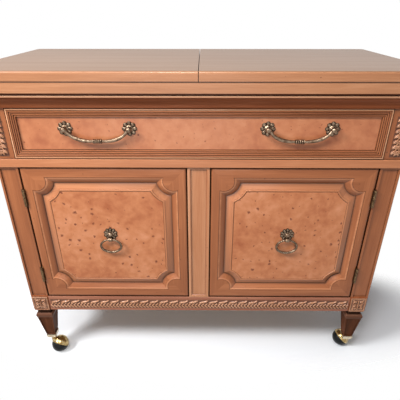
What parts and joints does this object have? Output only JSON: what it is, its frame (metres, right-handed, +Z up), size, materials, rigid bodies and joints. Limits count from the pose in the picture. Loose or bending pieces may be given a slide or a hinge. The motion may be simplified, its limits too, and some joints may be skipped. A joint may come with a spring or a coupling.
{
  "type": "bar cabinet",
  "caption": "Wooden bar cabinet on ball casters with a flip top of two fold-out leaves, a wide drawer with bail pulls and two panelled doors with ring pulls.",
  "frame": {"origin": "on the floor, under the middle of the closed top", "axes": "+Z up, -Y out of the front, +X to the right as seen from the front"},
  "size_m": [0.9768, 0.442, 0.8075],
  "materials": {
    "pecan": "satin lacquer",
    "pecan_burl": "satin lacquer",
    "carved_pecan": "satin lacquer over dark glaze",
    "inside_wood": "plain sealed",
    "antique_brass": "aged, satin",
    "polished_brass": "polished",
    "hinge_steel": "plain",
    "caster_rubber": "hard, satin",
    "laminate": "satin dark laminate",
    "catch_plastic": "matte brown"
  },
  "bodies": {
    "carcass": {"side_panel_left": "pecan", "side_panel_right": "pecan", "back_panel": "inside_wood", "cabinet_floor": "inside_wood", "dust_board": "inside_wood", "partition": "inside_wood", "shelves": "inside_wood", "corner_post_front_left": "pecan", "corner_post_front_right": "pecan", "corner_post_rear_left": "pecan", "corner_post_rear_right": "pecan", "leg_front_left": "pecan", "leg_front_right": "pecan", "leg_rear_left": "pecan", "leg_rear_right": "pecan", "caster_sockets": "polished_brass", "frieze_rail": "pecan", "middle_rail": "pecan", "apron_rail": "pecan", "centre_stile": "pecan", "drawer_runners": "inside_wood", "fixed_top": "pecan", "serving_surface": "laminate", "cornice_moulding": "pecan", "post_carvings": "carved_pecan", "apron_carving": "carved_pecan", "fixed_hinge_leaves": "antique_brass", "hinge_pins": "hinge_steel", "door_catches": "catch_plastic"},
    "leaf_left": {"top_leaf_left": "pecan", "top_hinge_leaves_left": "antique_brass"},
    "leaf_right": {"top_leaf_right": "pecan", "top_hinge_leaves_right": "antique_brass"},
    "drawer": {"drawer_front": "pecan", "drawer_burl_panel": "pecan_burl", "drawer_sides": "inside_wood", "drawer_back": "inside_wood", "drawer_bottom": "inside_wood", "bail_rosettes": "antique_brass"},
    "bail_left": {"bail_left": "antique_brass"},
    "bail_right": {"bail_right": "antique_brass"},
    "door_left": {"door_frame_left": "pecan", "door_panel_left": "pecan_burl", "door_hinge_leaves_left": "antique_brass", "ring_boss_left": "antique_brass"},
    "ring_left": {"ring_left": "antique_brass"},
    "door_right": {"door_frame_right": "pecan", "door_panel_right": "pecan_burl", "door_hinge_leaves_right": "antique_brass", "ring_boss_right": "antique_brass"},
    "ring_right": {"ring_right": "antique_brass"},
    "caster_front_left": {"caster_hood_front_left": "polished_brass"},
    "wheel_front_left": {"caster_wheel_front_left": "caster_rubber"},
    "caster_front_right": {"caster_hood_front_right": "polished_brass"},
    "wheel_front_right": {"caster_wheel_front_right": "caster_rubber"},
    "caster_rear_left": {"caster_hood_rear_left": "polished_brass"},
    "wheel_rear_left": {"caster_wheel_rear_left": "caster_rubber"},
    "caster_rear_right": {"caster_hood_rear_right": "polished_brass"},
    "wheel_rear_right": {"caster_wheel_rear_right": "caster_rubber"}
  },
  "joints": [
    {"name": "leaf_left_flip", "type": "hinge", "parent": "carcass", "child": "leaf_left", "pos_m": [-0.485, 0, 0.7861], "axis": [0, -1, 0], "range_deg": [0, 180]},
    {"name": "leaf_right_flip", "type": "hinge", "parent": "carcass", "child": "leaf_right", "pos_m": [0.485, 0, 0.7861], "axis": [0, 1, 0], "range_deg": [0, 180]},
    {"name": "drawer_slide", "type": "slide", "parent": "carcass", "child": "drawer", "axis": [0, -1, 0], "range_m": [0, 0.28]},
    {"name": "bail_left_swing", "type": "hinge", "parent": "drawer", "child": "bail_left", "pos_m": [-0.22, -0.198, 0.6833], "axis": [-1, 0, 0], "range_deg": [0, 95]},
    {"name": "bail_right_swing", "type": "hinge", "parent": "drawer", "child": "bail_right", "pos_m": [0.22, -0.198, 0.6833], "axis": [-1, 0, 0], "range_deg": [0, 95]},
    {"name": "door_left_swing", "type": "hinge", "parent": "carcass", "child": "door_left", "pos_m": [-0.41, -0.1956, 0.40625], "axis": [0, 0, -1], "range_deg": [0, 165]},
    {"name": "ring_left_swing", "type": "hinge", "parent": "door_left", "child": "ring_left", "pos_m": [-0.2185, -0.2005, 0.40525], "axis": [-1, 0, 0], "range_deg": [0, 90]},
    {"name": "door_right_swing", "type": "hinge", "parent": "carcass", "child": "door_right", "pos_m": [0.41, -0.1956, 0.40625], "axis": [0, 0, 1], "range_deg": [0, 165]},
    {"name": "ring_right_swing", "type": "hinge", "parent": "door_right", "child": "ring_right", "pos_m": [0.2185, -0.2005, 0.40525], "axis": [-1, 0, 0], "range_deg": [0, 90]},
    {"name": "caster_front_left_swivel", "type": "hinge", "parent": "carcass", "child": "caster_front_left", "pos_m": [-0.4345, -0.1695, 0.0505], "axis": [0, 0, 1], "continuous": true},
    {"name": "wheel_front_left_roll", "type": "hinge", "parent": "caster_front_left", "child": "wheel_front_left", "pos_m": [-0.4144, -0.17845, 0.0235], "axis": [0.2876, 0.646, 0.7071], "continuous": true},
    {"name": "caster_front_right_swivel", "type": "hinge", "parent": "carcass", "child": "caster_front_right", "pos_m": [0.4345, -0.1695, 0.0505], "axis": [0, 0, 1], "continuous": true},
    {"name": "wheel_front_right_roll", "type": "hinge", "parent": "caster_front_right", "child": "wheel_front_right", "pos_m": [0.43068, -0.14783, 0.0235], "axis": [0.6964, 0.1228, 0.7071], "continuous": true},
    {"name": "caster_rear_left_swivel", "type": "hinge", "parent": "carcass", "child": "caster_rear_left", "pos_m": [-0.4345, 0.1855, 0.0505], "axis": [0, 0, 1], "continuous": true},
    {"name": "wheel_rear_left_roll", "type": "hinge", "parent": "caster_rear_left", "child": "wheel_rear_left", "pos_m": [-0.41358, 0.1923, 0.0235], "axis": [-0.2185, 0.6725, 0.7071], "continuous": true},
    {"name": "caster_rear_right_swivel", "type": "hinge", "parent": "carcass", "child": "caster_rear_right", "pos_m": [0.4345, 0.1855, 0.0505], "axis": [0, 0, 1], "continuous": true},
    {"name": "wheel_rear_right_roll", "type": "hinge", "parent": "caster_rear_right", "child": "wheel_rear_right", "pos_m": [0.45274, 0.1732, 0.0235], "axis": [-0.3954, -0.5862, 0.7071], "continuous": true}
  ]
}
